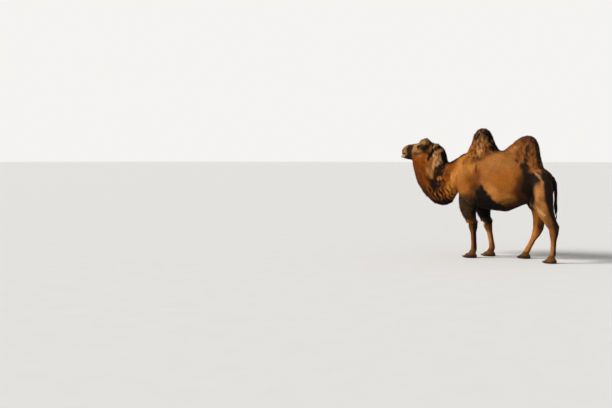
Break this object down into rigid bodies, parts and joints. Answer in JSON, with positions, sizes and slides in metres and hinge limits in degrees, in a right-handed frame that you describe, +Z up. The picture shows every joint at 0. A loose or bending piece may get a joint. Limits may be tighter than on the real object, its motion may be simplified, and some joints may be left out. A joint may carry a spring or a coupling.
{
  "type": "bactrian camel",
  "caption": "Two-humped camel standing at rest, head level, woolly forelegs, throat fringe, mane and crown tuft, broad padded feet.",
  "frame": {"origin": "floor level under the centre of the bounding box", "axes": "+Z up, the animal faces -Y, its left side is +X"},
  "size_m": [0.79, 2.7926, 2.13],
  "materials": {
    "ear_left": "short hair",
    "ear_right": "short hair",
    "eye_left": "glossy dark brown eyeball",
    "eye_right": "glossy dark brown eyeball",
    "foreleg_left_foot": "short dusty hair over a broad leathery pad",
    "foreleg_left_lower": "short close coat, tan",
    "foreleg_left_nail_left": "dull horn-coloured toe nail",
    "foreleg_left_nail_right": "dull horn-coloured toe nail",
    "foreleg_left_upper": "long shaggy wool, dark brown below and warm brown above",
    "foreleg_right_foot": "short dusty hair over a broad leathery pad",
    "foreleg_right_lower": "short close coat, tan",
    "foreleg_right_nail_left": "dull horn-coloured toe nail",
    "foreleg_right_nail_right": "dull horn-coloured toe nail",
    "foreleg_right_upper": "long shaggy wool, dark brown below and warm brown above",
    "head": "short smooth coat, tan round the eye and dark on the muzzle",
    "hind_leg_left_foot": "short dusty hair over a broad leathery pad",
    "hind_leg_left_lower": "short close coat, tan",
    "hind_leg_left_nail_left": "dull horn-coloured toe nail",
    "hind_leg_left_nail_right": "dull horn-coloured toe nail",
    "hind_leg_left_upper": "short woolly coat, warm tan brown",
    "hind_leg_right_foot": "short dusty hair over a broad leathery pad",
    "hind_leg_right_lower": "short close coat, tan",
    "hind_leg_right_nail_left": "dull horn-coloured toe nail",
    "hind_leg_right_nail_right": "dull horn-coloured toe nail",
    "hind_leg_right_upper": "short woolly coat, warm tan brown",
    "hump_front": "curly wool, brown with a darker crest",
    "hump_rear": "curly wool, brown with a darker crest",
    "jaw": "short hair with a pale lower lip",
    "mane": "curly locks, tan brown with a dark nape",
    "neck_lower": "short close coat, tan",
    "neck_upper": "woolly coat with a fringe of dark red-brown locks below",
    "tail": "short coarse hair",
    "tail_tuft": "long coarse dark hair",
    "topknot": "curly tuft of wool",
    "trunk": "close woolly coat, warm orange-brown with a dark belly band"
  },
  "bodies": {
    "root": {"ear_left": "ear_left", "ear_right": "ear_right", "eye_left": "eye_left", "eye_right": "eye_right", "foreleg_left_foot": "foreleg_left_foot", "foreleg_left_lower": "foreleg_left_lower", "foreleg_left_nail_left": "foreleg_left_nail_left", "foreleg_left_nail_right": "foreleg_left_nail_right", "foreleg_left_upper": "foreleg_left_upper", "foreleg_right_foot": "foreleg_right_foot", "foreleg_right_lower": "foreleg_right_lower", "foreleg_right_nail_left": "foreleg_right_nail_left", "foreleg_right_nail_right": "foreleg_right_nail_right", "foreleg_right_upper": "foreleg_right_upper", "head": "head", "hind_leg_left_foot": "hind_leg_left_foot", "hind_leg_left_lower": "hind_leg_left_lower", "hind_leg_left_nail_left": "hind_leg_left_nail_left", "hind_leg_left_nail_right": "hind_leg_left_nail_right", "hind_leg_left_upper": "hind_leg_left_upper", "hind_leg_right_foot": "hind_leg_right_foot", "hind_leg_right_lower": "hind_leg_right_lower", "hind_leg_right_nail_left": "hind_leg_right_nail_left", "hind_leg_right_nail_right": "hind_leg_right_nail_right", "hind_leg_right_upper": "hind_leg_right_upper", "hump_front": "hump_front", "hump_rear": "hump_rear", "jaw": "jaw", "mane": "mane", "neck_lower": "neck_lower", "neck_upper": "neck_upper", "tail": "tail", "tail_tuft": "tail_tuft", "topknot": "topknot", "trunk": "trunk"}
  },
  "joints": []
}
